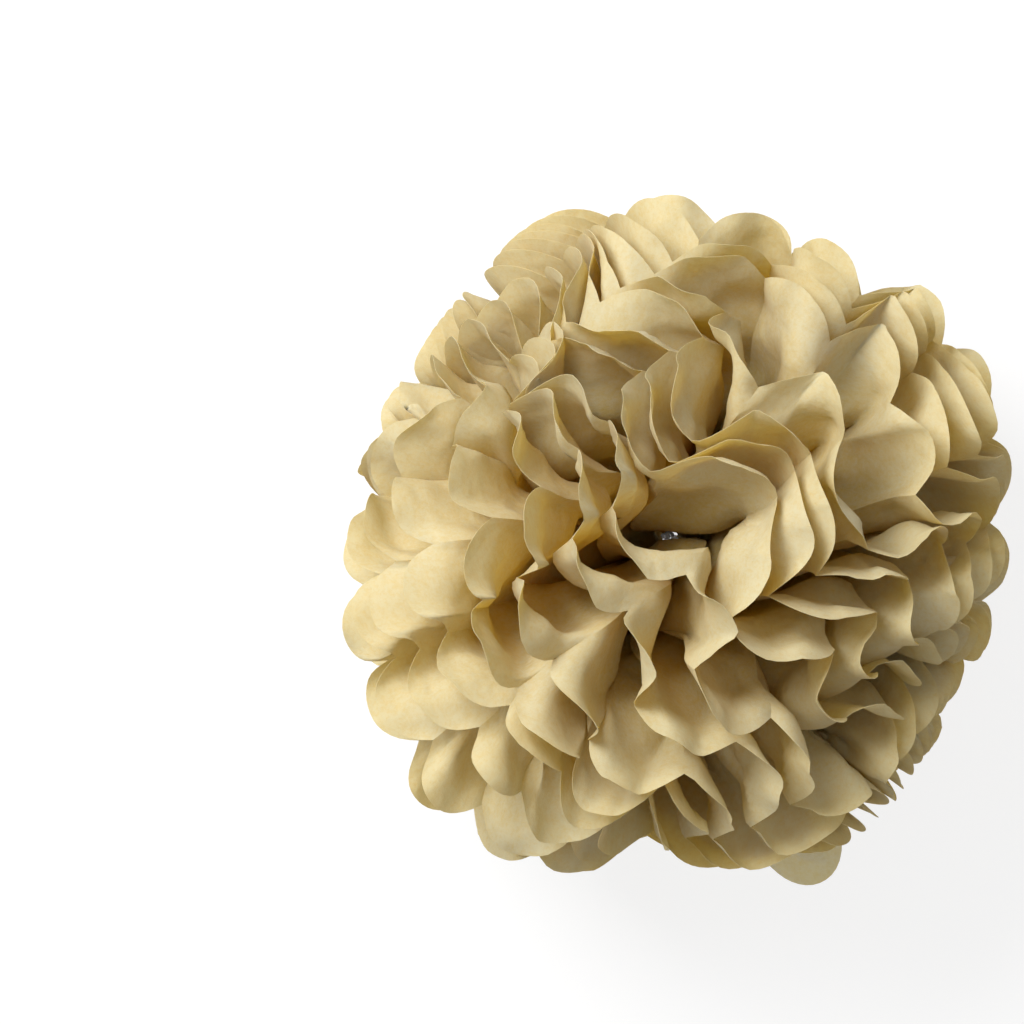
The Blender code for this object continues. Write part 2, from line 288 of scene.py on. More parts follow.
class PaperSettings(bpy.types.PropertyGroup):
    """The tissue paper and how it has crumpled."""

    sheet_length: bpy.props.FloatProperty(
        name="Sheet length", description="Length of a sheet across its pleats", default=0.5, unit="LENGTH"
    )
    strip_length: bpy.props.FloatProperty(
        name="Strip length", description="Length of the folded strip, end to end", default=0.28,
        unit="LENGTH",
    )
    thickness: bpy.props.FloatProperty(
        name="Paper thickness", description="Thickness of a sheet", default=0.00014,
        unit="LENGTH", precision=5,
    )
    seed: bpy.props.IntProperty(
        name="Seed", description="Another number crumples the paper another way", default=21, min=0
    )
    crumple: bpy.props.FloatProperty(
        name="Crumple", description="How far chance pushes the paper about", default=0.032, unit="LENGTH"
    )
    droop: bpy.props.FloatProperty(
        name="Droop", description="How far the paper's weight pulls it down in a round",
        default=0.00005, unit="LENGTH", precision=6,
    )
    # The two colours are mixed by the fibres' density, and also by reach as painted shade near the tie and
    # painted light towards the rim
    light_colour: bpy.props.FloatVectorProperty(
        name="Light colour", description="Colour of the paper where it is thin",
        subtype="COLOR", size=3, default=(0.88, 0.87, 0.66),
    )
    dark_colour: bpy.props.FloatVectorProperty(
        name="Dark colour", description="Colour of the paper where its fibres are dense",
        subtype="COLOR", size=3, default=(0.80, 0.64, 0.14),
    )
    see_through: bpy.props.FloatProperty(
        name="See-through", description="Share of the light that passes into the paper",
        subtype="FACTOR", default=0.50, min=0.0, max=1.0,
    )
    clearness: bpy.props.FloatProperty(
        name="Clearness", description="Share of light that passes straight through the single sheet",
        subtype="FACTOR", default=0.28, min=0.0, max=1.0,
    )


class RibbonSettings(bpy.types.PropertyGroup):
    """The ribbon that ties the sheets together."""

    ribbon_colour: bpy.props.FloatVectorProperty(
        name="Ribbon colour", description="Colour of the ribbon", subtype="COLOR", size=3,
        default=(0.84, 0.82, 0.76),
    )
    ribbon_thickness: bpy.props.FloatProperty(
        name="Ribbon thickness", description="Thickness of the ribbon", default=0.0003,
        unit="LENGTH", precision=5,
    )
    threads_per_metre: bpy.props.FloatProperty(
        name="Threads", description="How many threads lie side by side in a metre", default=4000.0, min=0.0
    )


class StageSettings(bpy.types.PropertyGroup):
    """The floor, the light and the camera."""

    floor_colour: bpy.props.FloatVectorProperty(
        name="Floor colour", description="Colour of the floor", subtype="COLOR", size=3,
        default=(0.9, 0.9, 0.9),
    )
    sky_strength: bpy.props.FloatProperty(
        name="Sky strength", description="Strength of the even light from all round", default=0.42, min=0.0
    )
    key_power: bpy.props.FloatProperty(
        name="Key power", description="Power of the large soft lamp", default=30.0, min=0.0, unit="POWER"
    )
    picture_width: bpy.props.FloatProperty(
        name="Picture width", description="Width that the camera shows at mid height of the ball",
        default=0.4478, unit="LENGTH",
    )
    camera_height: bpy.props.FloatProperty(
        name="Camera height", description="Height of the camera above mid height of the ball",
        default=1.6, unit="LENGTH",
    )


def scalloped_reach(column, strip_reach):
    """The paper's length from the tie: less by the scallop depth times (distance from mid-panel)^power."""
    share = column - np.floor(np.minimum(column, PANEL_COUNT - TINY_LENGTH))
    return strip_reach - SCALLOP_DEPTH * np.abs(2.0 * share - 1.0) ** SCALLOP_POWER


def lean_of(sheet):
    """The angle of a sheet's fans above the table's plane: close together at the front, wider behind."""
    share = sheet / (SHEET_COUNT - 1)
    eased = (1.0 - BACK_SPREAD) * share + BACK_SPREAD * share**3
    return FRONT_ANGLE + (BACK_ANGLE - FRONT_ANGLE) * eased


def chance(sheet, side, fold, turn):
    """A number from -1 to 1 that looks random from fold to fold but changes little from sheet to sheet."""
    side_step, fold_step, turn_step = CHANCE_STEPS
    return np.sin(SHEET_DRIFT * sheet + side_step * side + fold_step * (fold + 1) + turn_step * turn)


def nesting(fold):
    """How far the pleats of a sheet's two fans are out of step: 1 where ridge meets furrow, else less."""
    return np.sin(np.pi * fold / PANEL_COUNT)


def fold_places(sheet, side, fold, reach, grid):
    """Points on the folds, seen from the waist.

    A fold runs outwards in its fan at its own angle from the seam, and stands off the fan by half the
    pleats' depth, to one side on even folds and to the other on odd ones.
    """
    height = STACK_PITCH * ((SHEET_COUNT - 1) / 2 - sheet)
    waist_radius = STACK_PITCH * SHEET_COUNT / 2 + WAIST_EDGE_MARGIN
    half_width = np.sqrt(waist_radius**2 - height**2)
    turn_reach = NECK_REACH + STACK_PITCH * np.minimum(sheet, SHEET_COUNT - 1 - sheet)
    lean = np.radians(lean_of(sheet))
    inner = (fold > 0) & (fold < PANEL_COUNT)
    jitter = FOLD_JITTER * chance(sheet, side, fold, 1) * inner
    seam = np.radians(SEAM_ANGLE + FOLD_STEP * (fold + 0.5 * side * nesting(fold)) + jitter)
    across = np.sin(seam)
    chord = np.minimum(2.0 * reach * math.sin(math.radians(FOLD_STEP) / 2), grid.panel_width)
    free = 0.5 * np.sqrt(grid.panel_width**2 - chord**2)
    grown = smooth_step(reach, FLAT_REACH, DEEP_REACH)
    facing = math.tan(math.radians(90.0 - max(FRONT_ANGLE, -BACK_ANGLE)))
    room = FACING_SHARE * (NECK_REACH + reach * across * facing) / (1.0 + NESTING_ERROR - nesting(fold))
    depth = np.minimum(PLEAT_SHARE * free * grown * np.minimum(1.0, across / SEAM_CALM), room)
    bend = BEND_MARGIN + CENTRE[2] / (across * math.sin(math.radians(-BACK_ANGLE)))
    bend = np.minimum(bend, grid.reach[-1, 0] - RIM_MARGIN)
    hanging = lean_of(sheet) <= HANGING_ANGLE
    depth = depth * (1.0 - PRESSED_SHARE * hanging * smooth_step(reach, DEEP_REACH, bend))
    depth = depth * (1.0 + PLEAT_JITTER * chance(sheet, side, fold, 2)) * (1.0 - 2.0 * (fold % 2))
    waist_y = half_width * (1.0 - 2.0 * fold / PANEL_COUNT)
    return np.stack(
        np.broadcast_arrays(
            turn_reach + across * np.cos(lean) * reach - np.sin(lean) * depth,
            waist_y + np.cos(seam) * reach,
            height + across * np.sin(lean) * reach + np.cos(lean) * depth,
        ),
        axis=-1,
    )


def swayed(points, sheet, side, column, reach):
    """Pages lean over in waves: each point is turned round the seam by sines of its page and its column.

    The pages at the front, where the two fans of the first sheet face each other, hardly turn.
    """
    page = side * (sheet + 0.5)
    angle = sum(size * np.sin(by_page * page + by_fold * column + start)
                for size, by_page, by_fold, start in SWAYS)
    angle = angle * (1.0 - np.exp(-((page / SWAY_CALM_PAGES) ** 2)))
    turn = np.radians(angle) * smooth_step(reach, SWAY_FREE_REACH, SWAY_FULL_REACH)
    turned = points.copy()
    turned[..., 0] = points[..., 0] * np.cos(turn) + points[..., 2] * np.sin(turn)
    turned[..., 2] = points[..., 2] * np.cos(turn) - points[..., 0] * np.sin(turn)
    return turned


def warped(points):
    """The whole ball a little out of true: three long sine waves, none of them at the tie."""
    free = smooth_step(np.linalg.norm(points, axis=-1), WARP_FREE_RADIUS, WARP_FULL_RADIUS)
    lift = smooth_step(CENTRE[2] + points[..., 2], 0.0, WARP_FULL_HEIGHT)
    shift = np.zeros_like(points)
    for turn, (size, length) in enumerate(zip(WARP_SIZES, WARP_LENGTHS)):
        wave = 2.0 * math.pi / length
        run = math.radians(WARP_TURN * (turn - 1))
        across = points[..., 1] * math.cos(run) + points[..., 2] * math.sin(run)
        phases = [start + turn * step for start, step in zip(WARP_STARTS, WARP_STEPS)]
        shift[..., 0] += size * np.sin(wave * across + phases[0])
        shift[..., 1] += size * np.sin(wave * points[..., 2] + phases[1])
        shift[..., 2] += WARP_LIFT_SHARE * lift * size * np.sin(wave * points[..., 0] + phases[2])
    return points + shift * free[..., None]


def bulged(points):
    """The ball's outline from above: a circle swelled by cosines that go so many times round it."""
    radius = np.hypot(points[..., 0], points[..., 1])
    around = np.arctan2(points[..., 1], points[..., 0])
    swell = sum(size * np.cos(times * (around - math.radians(peak))) for times, size, peak in BULGES)
    swell = swell * smooth_step(radius, BULGE_FREE_RADIUS, BULGE_FULL_RADIUS)
    grown = points.copy()
    grown[..., :2] *= 1.0 + swell[..., None]
    return grown


class FanGrid:
    """The grid of a fan on the flat paper: each column's place in panels and each point's reach."""

    def __init__(self, settings, cells):
        self.across, self.along = cells
        self.panel_width = settings.sheet_length / PANEL_COUNT
        self.columns = np.arange(self.across * PANEL_COUNT + 1) / self.across
        rows = np.linspace(0.0, 1.0, self.along + 1)
        self.reach = rows[:, None] * scalloped_reach(self.columns, settings.strip_length / 2)[None, :]
        width = np.broadcast_to(self.columns * self.panel_width, self.reach.shape)
        self.flat = np.stack([self.reach, width], axis=-1)


def fan_layout(grid, sheet, side):
    """The frame's layout of one side's fans: straight between folds, but for a bow across each panel."""
    fold = np.minimum(grid.columns.astype(int), PANEL_COUNT - 1)[None, None, :]
    share = (grid.columns[None, None, :] - fold)[..., None]
    reach = grid.reach[None]
    first = fold_places(sheet, side, fold, reach, grid)
    second = fold_places(sheet, side, fold + 1, reach, grid)
    points = first * (1.0 - share) + second * share
    lean = np.radians(lean_of(sheet))[..., None]
    bow = PANEL_BOW * smooth_step(reach, FLAT_REACH, OPEN_REACH)[..., None] * 4.0 * share * (1.0 - share)
    points[..., 0:1] -= np.sin(lean) * bow
    points[..., 2:3] += np.cos(lean) * bow
    points[..., 0] *= side
    points = swayed(points, sheet, side, grid.columns, reach)
    return bulged(warped(points)) + CENTRE


def laid_on_floor(points, side):
    """Paper that would reach below the table is turned outwards and lies on it."""
    below = np.maximum(FLOOR_GAP - points[..., 2], 0.0)
    points[..., 2] += below
    points[..., 0] += side * below
    return points


def page_layout(grid):
    """The fans as a book's pages, from the last sheet's left fan round the front to its right one."""
    sheet = np.arange(SHEET_COUNT, dtype=float)[:, None, None]
    left = laid_on_floor(fan_layout(grid, sheet, -1), -1)
    right = laid_on_floor(fan_layout(grid, sheet, 1), 1)
    return np.concatenate([left[::-1], right])


def lattice_noise(random, shape, cells):
    """Smooth noise on a grid: random numbers on a coarse lattice, with a smooth step between them."""
    result = np.zeros(shape)
    places, steps = [], []
    for size, cell in zip(shape, cells):
        place = np.arange(size) / cell
        whole = place.astype(int)
        places.append(whole)
        steps.append((place - whole) ** 2 * (3.0 - 2.0 * (place - whole)))
    lattice = random.uniform(-1.0, 1.0, tuple(int(place.max()) + 2 for place in places))
    for corner in range(8):
        picks, share = [], 1.0
        for axis in range(3):
            far = corner >> axis & 1
            picks.append(places[axis] + far)
            weight = steps[axis] if far else 1.0 - steps[axis]
            share = share * weight.reshape([-1 if other == axis else 1 for other in range(3)])
        result += lattice[np.ix_(*picks)] * share
    return result


def crumples(random, grid, folds):
    """Heights over the flat paper of each page: a sum of triangle waves.

    A triangle wave rises and falls evenly along its direction, so that it is flat but for straight folds.
    """
    size = (2 * SHEET_COUNT,) + grid.reach.shape
    page = np.arange(2 * SHEET_COUNT)[:, None, None] - SHEET_COUNT

    def smooth(cells):
        return lattice_noise(random, size, (cells[0], cells[1] * (grid.along + 1), cells[2] * grid.across))

    heights = np.zeros(size)
    for turn, distance, steepness in folds:
        direction = np.radians(turn + CRUMPLE_TURNING * random.uniform(-1.0, 1.0) * page)
        place = grid.flat[..., 0] * np.sin(direction) + grid.flat[..., 1] * np.cos(direction)
        place = place + CRUMPLE_WANDER * smooth(CRUMPLE_WANDER_CELLS)
        start = random.uniform(0.0, 1.0) + CRUMPLE_DRIFT * random.uniform(-1.0, 1.0) * page
        wave = np.abs(4.0 * ((place / distance / 2.0 + start) % 1.0) - 2.0) - 1.0
        patch = np.clip(0.5 + smooth(CRUMPLE_PATCH_CELLS), 0.0, 1.0)
        heights += 0.5 * steepness * distance * wave * patch
    return heights


def pull(points, first, second, rest, give):
    """Moves the ends of edges towards their rest length; of a short edge's lack, only a share is made up."""
    across = points[second] - points[first]
    length = np.sqrt((across**2).sum(axis=-1)) + TINY_LENGTH
    error = (length - rest) / length
    error = np.where(error > 0.0, error, error * give)
    move = 0.5 * error[..., None] * across
    points[first] += move
    points[second] -= move


def smooth_triples(points, before, middle, after, share):
    """Moves each three neighbours in a row towards a straight line."""
    bend = (points[before] + points[after] - 2.0 * points[middle]) * share[..., None]
    points[middle] += bend / 3.0
    points[before] -= bend / 6.0
    points[after] -= bend / 6.0


def neighbour_mean(values):
    """The mean of the four neighbours of each point of each page, with the rim repeated outwards."""
    padded = np.concatenate([values[:, :1], values, values[:, -1:]], axis=1)
    along = padded[:, :-2] + padded[:, 2:]
    padded = np.concatenate([values[:, :, :1], values, values[:, :, -1:]], axis=2)
    return (along + padded[:, :, :-2] + padded[:, :, 2:]) / 4.0


def surface_normals(points, span):
    """The cross product of the grid's two directions at each point, towards the next page.

    Each direction runs from the point that is a number of cells before to the one as far behind.
    """
    rows, columns = np.arange(points.shape[1]), np.arange(points.shape[2])
    last_row, last_column = rows[-1], columns[-1]
    along = points[:, np.minimum(rows + span, last_row)] - points[:, np.maximum(rows - span, 0)]
    across = points[:, :, np.minimum(columns + span, last_column)]
    across = across - points[:, :, np.maximum(columns - span, 0)]
    normals = np.cross(along, across)
    return normals / (np.linalg.norm(normals, axis=-1, keepdims=True) + TINY_AREA)


def common_normals(first, second):
    """Unit vectors midway between two sets of normals."""
    normals = first + second
    return normals / (np.linalg.norm(normals, axis=-1, keepdims=True) + TINY_LENGTH)


def facing_columns(grid):
    """For the two fans that face each other at the front: the other fan's column that each column meets."""
    left = grid.columns - 0.5 * nesting(grid.columns)
    right = grid.columns + 0.5 * nesting(grid.columns)
    to_right = np.abs(right[None, :] - left[:, None]).argmin(axis=1)
    to_left = np.abs(left[None, :] - right[:, None]).argmin(axis=1)
    return to_right, to_left


def refined(points):
    """The same surfaces on a grid twice as fine: a new point lies on the cubic through four neighbours."""
    for axis in (1, 2):
        points = np.moveaxis(points, axis, 0)
        padded = np.concatenate([2 * points[:1] - points[1:2], points, 2 * points[-1:] - points[-2:-1]])
        between = (9.0 * (padded[1:-2] + padded[2:-1]) - padded[:-3] - padded[3:]) / 16.0
        finer = np.empty((2 * len(points) - 1,) + points.shape[1:])
        finer[::2] = points
        finer[1::2] = between
        points = np.moveaxis(finer, 0, axis)
    return points


class Relaxation:
    """The crumpled paper as a grid of points for each page, moved round by round until it is at ease."""

    def __init__(self, settings, grid, level, points=None):
        self.settings = settings
        self.grid = grid
        self.level = level
        self.start = page_layout(grid)
        self.points = self.start.copy() if points is None else points
        across_seam = np.sin(np.radians(SEAM_ANGLE + FOLD_STEP * grid.columns))
        self.away = smooth_step(across_seam, *AWAY_FROM_SEAM)
        self.loose = smooth_step(grid.reach, *LOOSE_REACH)
        self.weight = smooth_step(grid.reach, *WEIGHT_REACH)
        self.gap = LEAST_GAP + (OPEN_GAP - LEAST_GAP) * smooth_step(grid.reach, *GAP_REACH) * across_seam
        self.folded = np.isclose(grid.columns % 1.0, 0.0)
        self.firm = np.ones(self.points.shape[:3])
        self.to_right, self.to_left = facing_columns(grid)
        self.hold = self.find_hold()
        self.push = self.find_push()
        self.scale = self.find_scale()
        self.squeeze = smooth_step(grid.reach, SQUEEZE_FREE_REACH, SQUEEZE_FULL_REACH)
        self.edges = []
        every = slice(None)
        for begin in (0, 1):
            low, high = slice(begin, -1, 2), slice(begin + 1, None, 2)
            self.add_edges((every, low), (every, high))
            self.add_edges((low, every), (high, every))
            self.add_edges((low, slice(0, -1)), (high, slice(1, None)))
            self.add_edges((low, slice(1, None)), (high, slice(0, -1)))

    def find_hold(self):
        """The share of its way back to the frame's layout that each point goes in a round."""
        reach = self.grid.reach
        free = smooth_step(reach, HELD_REACH, FREE_REACH) ** HOLD_POWER
        hold = np.where(reach < HELD_REACH, 1.0, 1.0 + (self.level.rim_hold - 1.0) * free)
        return np.maximum(hold, SEAM_HOLD * (1.0 - self.away))

    def find_push(self):
        """How far chance pushes each point in all, along the normals of the frame's layout."""
        grid, settings = self.grid, self.settings
        random = np.random.default_rng((settings.seed, self.level.seed_step))
        size = self.points.shape[:3]
        page = np.abs(np.arange(2 * SHEET_COUNT) - SHEET_COUNT + 0.5)
        rough = 1.0 + FRONT_ROUGHNESS * np.exp(-((page / FRONT_PAGES) ** 2))
        push = np.zeros(size)
        for pages, along, across, share in self.level.noises:
            noise = lattice_noise(random, size, (pages, along * (grid.along + 1), across * grid.across))
            push += noise * self.loose * settings.crumple * share * rough[:, None, None]
        return (push * self.away)[..., None] * surface_normals(self.start, grid.across)

    def find_scale(self):
        """How much longer the paper may be, because the frame's layout is, along each column and row."""
        outward = np.linalg.norm(np.diff(self.start, axis=1), axis=-1).sum(axis=1) / self.grid.reach[-1]
        around = np.linalg.norm(np.diff(self.start, axis=2), axis=-1).sum(axis=2)
        around /= np.linalg.norm(np.diff(self.grid.flat, axis=1), axis=-1).sum(axis=1)
        scale = np.empty(self.points.shape[:3] + (2,))
        scale[..., 0] = np.clip(outward, 1.0, MOST_SPREAD)[:, None, :] * PAPER_GROWTH
        scale[..., 1] = np.clip(around, 1.0, MOST_SPREAD)[:, :, None] * PAPER_GROWTH
        return scale

    def add_edges(self, first, second):
        """Keeps a set of edges that share no point, with their lengths on the flat paper, scaled."""
        flat = self.grid.flat
        first_all, second_all = (slice(None),) + first, (slice(None),) + second
        rest = np.linalg.norm((flat[second] - flat[first]) * self.scale[first_all], axis=-1)
        give = np.minimum(self.squeeze[second], self.squeeze[first])
        self.edges.append((first_all, second_all, rest, give))

    def keep_pages_apart(self, most):
        """Two pages that come closer than the gap, along their common normal, are pushed apart."""
        normals = surface_normals(self.points, self.level.span)
        points = self.points
        half = SHEET_COUNT
        for pages in (slice(0, half), slice(half, 2 * half)):
            lower, upper = points[pages][:-1], points[pages][1:]
            normal = common_normals(normals[pages][:-1], normals[pages][1:])
            lack = self.gap - ((upper - lower) * normal).sum(axis=-1)
            move = PART_SHARE * np.clip(lack, 0.0, most)[..., None] * normal
            points[pages][:-1] -= move
            points[pages][1:] += move
        left, right = points[half - 1].copy(), points[half].copy()
        meetings = ((half - 1, right, self.to_right, -1.0), (half, left, self.to_left, 1.0))
        for page, other, columns, way in meetings:
            normal = common_normals(normals[page], normals[2 * half - 1 - page][:, columns])
            lack = self.gap - way * ((points[page] - other[:, columns]) * normal).sum(axis=-1)
            points[page] += way * PART_SHARE * np.clip(lack, 0.0, most)[..., None] * normal

    def crease(self):
        """Paper bent sharply keeps a crease: where the grid bends most, it has little stiffness left."""
        size = self.grid.panel_width / self.grid.across
        bend = np.zeros(self.points.shape[:3])
        for axis in (1, 2):
            second = np.diff(self.points, n=2, axis=axis)
            amount = np.linalg.norm(second, axis=-1) / size
            inner = [slice(None)] * 3
            inner[axis] = slice(1, -1)
            bend[tuple(inner)] = np.maximum(bend[tuple(inner)], amount)
        self.firm = 1.0 - (1.0 - CREASED_FIRMNESS) * smooth_step(bend, *CREASE_BENDS)

    def run(self):
        """Each round: chance and weight push, edges pull, bends smooth, pages part, floor and tie hold."""
        level = self.level
        every = slice(None)
        parts = (slice(0, -2), slice(1, -1), slice(2, None))
        across_lines = [(every, every, part) for part in parts]
        along_lines = [(every, part, every) for part in parts]
        pushing = max(1, int(level.rounds * PUSHED_SHARE))
        held = self.hold[None, ..., None]
        for step in range(level.rounds):
            if step < pushing:
                self.points += self.push / pushing
            self.points[..., 2] -= self.settings.droop * self.weight
            for first, second, rest, give in self.edges:
                pull(self.points, first, second, rest, give)
            if step % CREASE_ROUNDS == CREASE_ROUNDS - 1:
                self.crease()
            across = np.where(self.folded, 0.0, self.firm * level.stiffness)
            smooth_triples(self.points, *across_lines, across[:, :, 1:-1])
            smooth_triples(self.points, *along_lines, (self.firm * level.stiffness)[:, 1:-1, :])
            self.keep_pages_apart(MOST_PARTING)
            self.points += (self.start - self.points) * held
            np.maximum(self.points[..., 2], FLOOR_GAP, out=self.points[..., 2])

    def iron(self):
        """Smooths the paper where it has folded over on itself within a few cells of the grid."""
        turned = (surface_normals(self.points, 1) * surface_normals(self.points, IRON_SPAN)).sum(axis=-1)
        rough = ((turned < LEAST_TURNED) & (self.grid.reach > IRON_REACH)).astype(float)
        for _ in range(IRON_MARGIN):
            beside = (neighbour_mean(rough) > 0.0).astype(float)
            rough = np.maximum(rough, beside)
        share = (IRON_SHARE * rough)[..., None]
        for _ in range(IRON_ROUNDS):
            self.points += share * (neighbour_mean(self.points) - self.points)

    def slip_out(self):
        """Two petals of a lower sheet show from under the others, which draw back there."""
        first, last = SLIPPED_PANELS
        around = smooth_step(self.grid.columns, first - 1.0, first) * (
            1.0 - smooth_step(self.grid.columns, last, last + 1.0))
        away = np.arange(SHEET_COUNT) - (SHEET_COUNT - 1 - SLIPPED_SHEET)
        slip = np.where(away == 0, SLIPPED_SHARE, -DRAWN_SHARE * np.exp(-((away / DRAWN_PAGES) ** 2)))
        share = slip[:, None, None] * around * self.loose
        self.points[:SHEET_COUNT, ..., :2] *= 1.0 + share[..., None]

    def crumple(self, folds):
        """Adds the crumples along the pages' normals, then parts the pages once more."""
        random = np.random.default_rng((self.settings.seed, CRUMPLE_SEED_STEP))
        heights = crumples(random, self.grid, folds) * self.away
        heights *= self.loose
        self.points += heights[..., None] * surface_normals(self.points, self.grid.across // 2)
        for _ in range(PARTING_ROUNDS):
            self.keep_pages_apart(LAST_PARTING)
            np.maximum(self.points[..., 2], FLOOR_GAP, out=self.points[..., 2])


def crumpled_paper(settings):
    """The finished paper: relaxed on the coarse grid, then on one twice as fine, then crumpled."""
    coarse = Relaxation(settings, FanGrid(settings, COARSE_CELLS), COARSE_LEVEL)
    coarse.run()
    coarse.iron()
    fine = Relaxation(settings, FanGrid(settings, FINE_CELLS), FINE_LEVEL, refined(coarse.points))
    fine.run()
    fine.crumple(CRUMPLES)
    fine.slip_out()
    return fine


def sheet_grid(pages, number):
    """A sheet's grid of points: its left fan from the rim to the waist, then its right fan to the rim."""
    left = pages[SHEET_COUNT - 1 - number]
    right = pages[SHEET_COUNT + number]
    return np.concatenate([left[::-1], right])


def grid_faces(rows, columns):
    """The four corners of each cell of a grid, as rows of point numbers."""
    start = (np.arange(rows - 1)[:, None] * columns + np.arange(columns - 1)).ravel()
    return np.stack([start, start + 1, start + columns + 1, start + columns], axis=1)


def grid_object(name, grid, flat, finish):
    """A mesh object from a grid of points, with the flat paper's place as its UV map.

    It is shaded smoothly, but for its rim and those folds between panels that are bent sharply.
    """
    rows, columns = grid.shape[:2]
    faces = grid_faces(rows, columns)
    mesh = bpy.data.meshes.new(name)
    mesh.vertices.add(rows * columns)
    mesh.vertices.foreach_set("co", grid.reshape(-1).astype(np.float32))
    mesh.loops.add(faces.size)
    mesh.loops.foreach_set("vertex_index", faces.ravel().astype(np.int32))
    mesh.polygons.add(len(faces))
    mesh.polygons.foreach_set("loop_start", np.arange(0, faces.size, 4, dtype=np.int32))
    mesh.update(calc_edges=True)
    mesh.validate()
    layer = mesh.uv_layers.new(name="paper")
    layer.data.foreach_set("uv", flat.reshape(-1, 2)[faces.ravel()].ravel().astype(np.float32))
    mesh.polygons.foreach_set("use_smooth", np.ones(len(faces), dtype=bool))
    mesh.set_sharp_from_angle(angle=math.radians(SHARP_BEND))
    rim = np.ones((rows, columns), dtype=bool)
    rim[1:-1, 1:-1] = False
    folded = np.zeros((rows, columns), dtype=bool)
    folded[:, ::(columns - 1) // PANEL_COUNT] = True
    ends = np.empty(2 * len(mesh.edges), dtype=np.int32)
    sharp = np.empty(len(mesh.edges), dtype=bool)
    mesh.edges.foreach_get("vertices", ends)
    mesh.edges.foreach_get("use_edge_sharp", sharp)
    on_rim, on_fold = (mask.ravel()[ends.reshape(-1, 2)].all(axis=1) for mask in (rim, folded))
    mesh.edges.foreach_set("use_edge_sharp", (sharp & on_fold) | on_rim)
    mesh.materials.append(finish)
    made = bpy.data.objects.new(name, mesh)
    bpy.context.scene.collection.objects.link(made)
    return made


def add_thickness(piece, thickness):
    """Gives the paper its thickness, half to each side."""
    shell = piece.modifiers.new("thickness", "SOLIDIFY")
    shell.thickness = thickness
    shell.offset = 0.0


def new_material(name):
    """A material without nodes, and its node tree."""
    made = bpy.data.materials.new(name)
    made.use_nodes = True
    made.node_tree.nodes.clear()
    return made, made.node_tree


def connect(tree, value, socket):
    """Gives a node's input its value: a number, a colour or another node's output."""
    if isinstance(value, bpy.types.NodeSocket):
        tree.links.new(value, socket)
    else:
        socket.default_value = value


def add_node(tree, kind, values=(), **options):
    """A new node with some inputs set by name or number, and its own options set."""
    node = tree.nodes.new("ShaderNode" + kind)
    for name, value in options.items():
        setattr(node, name, value)
    for key, value in dict(values).items():
        connect(tree, value, node.inputs[key])
    return node


def computed(tree, operation, *values, **options):
    """The result of a maths node on numbers or other nodes' outputs."""
    return add_node(tree, "Math", enumerate(values), operation=operation, **options).outputs[0]


def add_noise(tree, place, sizes, **options):
    """The strength of a noise: its sizes are scale, detail and roughness."""
    scale, detail, roughness = sizes
    values = {"Scale": scale, "Detail": detail, "Roughness": roughness, "Vector": place}
    return add_node(tree, "TexNoise", values, **options).outputs["Fac"]


def add_bump(tree, height, sizes):
    """Normals that a height tilts: its sizes are the strength and the distance."""
    strength, distance = sizes
    values = {"Strength": strength, "Distance": distance, "Height": height}
    return add_node(tree, "Bump", values).outputs["Normal"]


def add_output(tree, surface):
    """The end of a material's nodes."""
    add_node(tree, "OutputMaterial", {"Surface": surface})


def tissue_material(name, settings, clearness):
    """Thin matt paper: half of the light passes in, and clouds of fibres make it denser in places.

    Painted shade and light: it is drawn deeper in colour near the tie, where the folds crowd, and paler
    towards the rim.
    """
    made, tree = new_material(name)
    place = add_node(tree, "UVMap", uv_map="paper").outputs["UV"]
    clouds = add_noise(tree, place, CLOUDS)
    fibres = add_noise(tree, place, FIBRES)
    blend = computed(tree, "MULTIPLY_ADD", clouds, CLOUD_SHARE, fibres)
    speckle = {"Value": blend, "From Min": FIBRE_RANGE[0], "From Max": FIBRE_RANGE[1]}
    speckle = add_node(tree, "MapRange", speckle).outputs["Result"]
    # Painted shade and light: darker by the tie and paler towards the rim, by the distance along the paper
    # from the tie
    along = add_node(tree, "SeparateXYZ", {0: place}).outputs["X"]
    outward = {"Value": computed(tree, "ABSOLUTE", along), "From Min": PAINTED_SHADE_REACH[0],
               "From Max": PAINTED_SHADE_REACH[1], "To Max": PAINTED_LIGHT_SHARE}
    outward = add_node(tree, "MapRange", outward, interpolation_type="SMOOTHSTEP").outputs["Result"]
    fibre_and_painted_paleness = computed(tree, "MULTIPLY_ADD", speckle, SPECKLE_SHARE, outward, use_clamp=True)
    tones = {"Factor": fibre_and_painted_paleness, "A": (*settings.dark_colour, 1.0), "B": (*settings.light_colour, 1.0)}
    colour = add_node(tree, "Mix", tones, data_type="RGBA").outputs["Result"]
    creases = add_noise(tree, place, CREASES, noise_type="RIDGED_MULTIFRACTAL", normalize=True)
    relief = computed(tree, "MULTIPLY_ADD", fibres, FIBRE_RELIEF, creases)
    normal = add_bump(tree, relief, PAPER_BUMP)
    face = add_node(tree, "BsdfPrincipled", {
        "Base Color": colour, "Normal": normal, "Roughness": PAPER_ROUGHNESS,
        "Specular IOR Level": PAPER_SHINE, "Sheen Weight": PAPER_SHEEN,
    })
    tinted = {"Factor": 1.0, "A": colour, "B": (*THROUGH_TINT, 1.0)}
    warm = add_node(tree, "Mix", tinted, data_type="RGBA", blend_type="MULTIPLY").outputs["Result"]
    through = add_node(tree, "BsdfTranslucent", {"Color": warm, "Normal": normal})
    paper = {"Fac": settings.see_through, 1: face.outputs[0], 2: through.outputs[0]}
    last = add_node(tree, "MixShader", paper)
    if clearness > 0.0:
        clear = add_node(tree, "BsdfTransparent")
        last = add_node(tree, "MixShader", {"Fac": clearness, 1: last.outputs[0], 2: clear.outputs[0]})
    add_output(tree, last.outputs[0])
    return made


